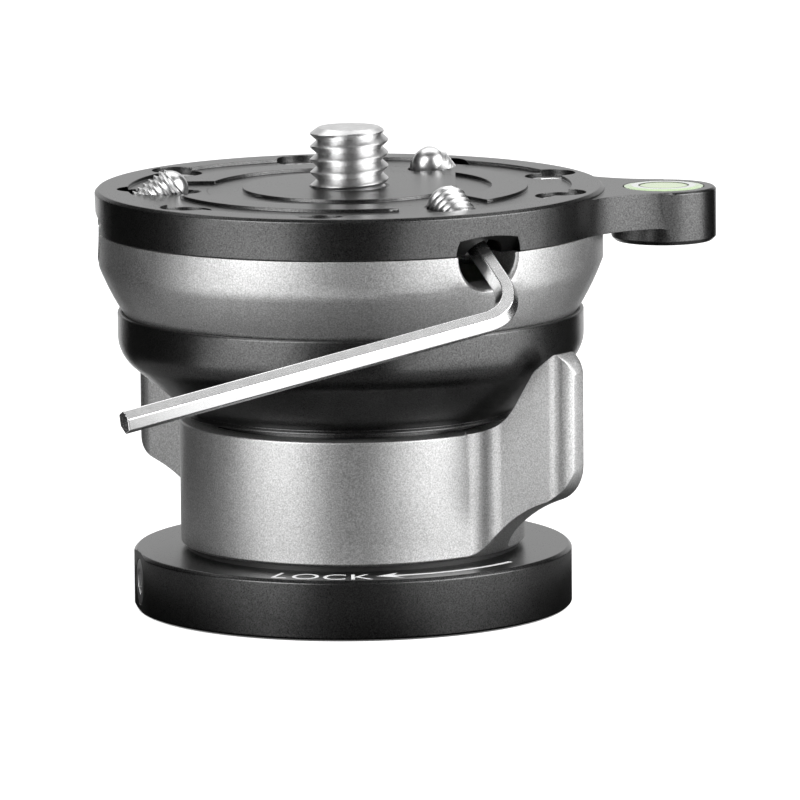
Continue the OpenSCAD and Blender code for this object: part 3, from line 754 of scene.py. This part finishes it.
# %% Print the arrow
ARROW_R = 23.75 * MM
ARROW_TIP = -83.0
ARROW_NOTCH = -78.0
ARROW_BARB = -75.6
ARROW_TAIL = -36.5
ARROW_LAP = 0.2
SHAFT_STEPS = 24
BARB_HALF = 1.85 * MM
SHAFT_HALF = 0.34 * MM


def on_base(radius, degrees):
    angle = math.radians(degrees)
    return (radius * math.cos(angle), radius * math.sin(angle), z_base + INK)


bm = bmesh.new()
shaft = [bm.verts.new(on_base(ARROW_R + side * SHAFT_HALF, ARROW_NOTCH)) for side in (-1, 1)]
edge = bm.edges.new(shaft)
bmesh.ops.spin(bm, geom=shaft + [edge], axis=(0, 0, 1), cent=(0, 0, 0),
               angle=math.radians(ARROW_TAIL - ARROW_NOTCH), steps=SHAFT_STEPS)
tip = bm.verts.new(on_base(ARROW_R, ARROW_TIP))
notch = bm.verts.new(on_base(ARROW_R, ARROW_NOTCH - ARROW_LAP))
for side in (-1, 1):
    barb = bm.verts.new(on_base(ARROW_R + side * BARB_HALF, ARROW_BARB))
    bm.faces.new((tip, barb, notch) if side > 0 else (tip, notch, barb))
for face in bm.faces:
    face.normal_update()
bmesh.ops.recalc_face_normals(bm, faces=bm.faces)
bmesh.ops.reverse_faces(bm, faces=[face for face in bm.faces if face.normal.z < 0])
close_piece("lock_arrow", bm, "base", None, white_ink)

# %% [markdown]
# Hidden parts
#
# The post, pins, washers, liners and clamp can't be seen, but they show when the part is taken
# apart, so their solids stay and only get a finish.

# %% Finish the hidden parts
hidden = {
    turned_steel: ["anti_turn_pins", "clamp_stud", "clamp_cap", "spring_washer", "clamp_nut"],
    silver_anodised: ["centre_post"],
    acetal: ["seat_liner", "ball_liner"],
    black_acetal: ["thrust_washer"],
    level_liquid: ["vial_fluid"],
    level_air: ["vial_bubble"],
}
for finish, nodes in hidden.items():
    for node in nodes:
        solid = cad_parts[node]
        solid.data.materials.clear()
        solid.data.materials.append(finish)
print("hidden parts:", sum(len(nodes) for nodes in hidden.values()))

# %% [markdown]
# Floor and world
#
# The photograph has a white ground with hardly a shadow. More lamps could burn the floor out, but
# they would bleach the object too. So the floor and the world glow only on rays that show them,
# which Light Path tells apart, and the lamps add the rest. Near the object the lamps' share is in
# shadow, and that leaves a soft grey under it.

# %% Lay the floor
FLOOR_HALF = 3.0
FLOOR_DROP = 0.02 * MM
PAPER_GREY = 0.55
PAPER_GLOW = 0.78
bm = bmesh.new()
bmesh.ops.create_grid(bm, x_segments=1, y_segments=1, size=FLOOR_HALF)
bmesh.ops.translate(bm, verts=bm.verts, vec=(0, 0, -FLOOR_DROP))
mesh = bpy.data.meshes.new("floor")
bm.to_mesh(mesh)
bm.free()
floor = bpy.data.objects.new("floor", mesh)
bpy.context.scene.collection.objects.link(floor)
paper = Finish("white_paper")
glowing_paper = paper.surface(Base_Color=(*grey(PAPER_GREY), 1), Roughness=0.9,
                              Specular_IOR_Level=0.0, Emission_Color=paper.seen(),
                              Emission_Strength=PAPER_GLOW)
mesh.materials.append(glowing_paper)

# %% Set the world
AMBIENT = 0.30
world = bpy.data.worlds.new("studio")
bpy.context.scene.world = world
world.use_nodes = True
sky = Nodes(world.node_tree)
glow = sky.add("ShaderNodeBackground", {}, {"Strength": AMBIENT + (1 - AMBIENT) * sky.seen()})
sky.add("ShaderNodeOutputWorld", {}, {"Surface": glow})
print("floor", FLOOR_HALF * 2, "m wide, ambient light", AMBIENT)

# %% [markdown]
# Lamps and black cards
#
# Metal shows what is round it, so lighting metal is placing things for it to mirror. Two large
# soft boxes stand left and right of the camera, at about forty-five and sixty-five degrees, and
# make the two bright bands of every turned part. A weaker one hangs above and behind. A
# photographer then sets black cards in front, at the sides and on the table, and they make the
# dark bands between. The cards nearest the object on the floor are painted shade: the floor glows
# in reflections, so they put back the object's own shade round its foot for the metal to mirror.
# The cards are hidden from the camera, cast no shadow and take no diffuse light away.

# %% Hang the lamps
AIM = Vector((0, 0, 0.03))


def facing(place):
    """Matrix that stands at a place with its local -Z towards the object."""
    place = Vector(place)
    return Matrix.Translation(place) @ (AIM - place).to_track_quat("-Z", "Y").to_matrix().to_4x4()


def soft_box(name, place, width, height, radiance):
    light = bpy.data.lights.new(name, "AREA")
    light.shape = "RECTANGLE"
    light.size = width
    light.size_y = height
    light.energy = radiance * math.pi * width * height
    lamp = bpy.data.objects.new(name, light)
    lamp.matrix_world = facing(place)
    lamp.visible_camera = False
    bpy.context.scene.collection.objects.link(lamp)
    print(name, "%.2f m wide, radiance %.1f" % (width, radiance))


soft_box("left_box", (-0.50, -0.50, 0.36), 0.52, 0.80, 4.3)
soft_box("right_box", (0.64, -0.29, 0.36), 0.80, 0.80, 4.3)
soft_box("back_box", (0.0, 0.45, 0.80), 0.90, 0.50, 1.6)

# %% Set up the black cards


def felt(name, level):
    return Finish(name).surface(Base_Color=(*grey(level), 1), Roughness=1.0,
                                Specular_IOR_Level=0.0)


def hide_card(name, bm, finish):
    mesh = bpy.data.meshes.new(name)
    bm.to_mesh(mesh)
    bm.free()
    mesh.materials.append(finish)
    card = bpy.data.objects.new(name, mesh)
    bpy.context.scene.collection.objects.link(card)
    card.visible_camera = False
    card.visible_shadow = False
    card.visible_diffuse = False


def swept_card(name, ends, first, last, steps, finish):
    """Sweeps a line about the axis, between two turns from the camera's side."""
    bm = bmesh.new()
    dots = [bm.verts.new((0, -radius, height)) for radius, height in ends]
    edge = bm.edges.new(dots)
    bmesh.ops.rotate(bm, verts=dots, matrix=Matrix.Rotation(math.radians(first), 3, "Z"))
    bmesh.ops.spin(bm, geom=dots + [edge], axis=(0, 0, 1), cent=(0, 0, 0),
                   angle=math.radians(last - first), steps=steps, use_merge=last - first == 360)
    hide_card(name, bm, finish)


def lying_card(name, height, near, far, first, last, finish):
    swept_card(name, [(near, height), (far, height)], first, last, RING_STEPS, finish)


black_felt = felt("black_felt", 0.02)
shade_dim_felt = felt("shade_dim_felt", 0.12)
shade_grey_felt = felt("shade_grey_felt", 0.25)

# %% Hang and lay the cards
RING_STEPS = 32
CURTAIN_STEPS = 64
CURTAIN_R = 1.0
CURTAIN_H = 1.1
ROOF_HOLE_R = 0.06
ON_FLOOR = 0.2 * MM
FOOT_R = 0.020
NEAR_R = 0.045
FAR_R = 0.085
curtain_ends = [(CURTAIN_R, 0), (CURTAIN_R, CURTAIN_H)]
swept_card("curtain", curtain_ends, -150, 150, CURTAIN_STEPS, black_felt)
lying_card("roof_card", CURTAIN_H, ROOF_HOLE_R, CURTAIN_R, -100, 100, black_felt)
# Painted shade: these three cards round the foot stand for the object's own shade on the floor, as
# the metal mirrors it.
lying_card("foot_shade_card", ON_FLOOR, FOOT_R, NEAR_R, -180, 180, black_felt)
lying_card("near_card", ON_FLOOR, NEAR_R, FAR_R, 20, 340, shade_grey_felt)
lying_card("front_near_card", ON_FLOOR, NEAR_R, FAR_R, -20, 20, shade_dim_felt)
for place, first, last in (("front", -22, 22), ("left", -150, -72), ("right", 96, 150)):
    lying_card(place + "_floor_card", ON_FLOOR, FAR_R, CURTAIN_R, first, last, black_felt)
print("black cards: a curtain, a roof and six on the floor")

# %% [markdown]
# Closing
#
# The view transform is set to Standard, so that a colour renders as it is written.

# %% Close the scene
bpy.context.scene.view_settings.view_transform = "Standard"
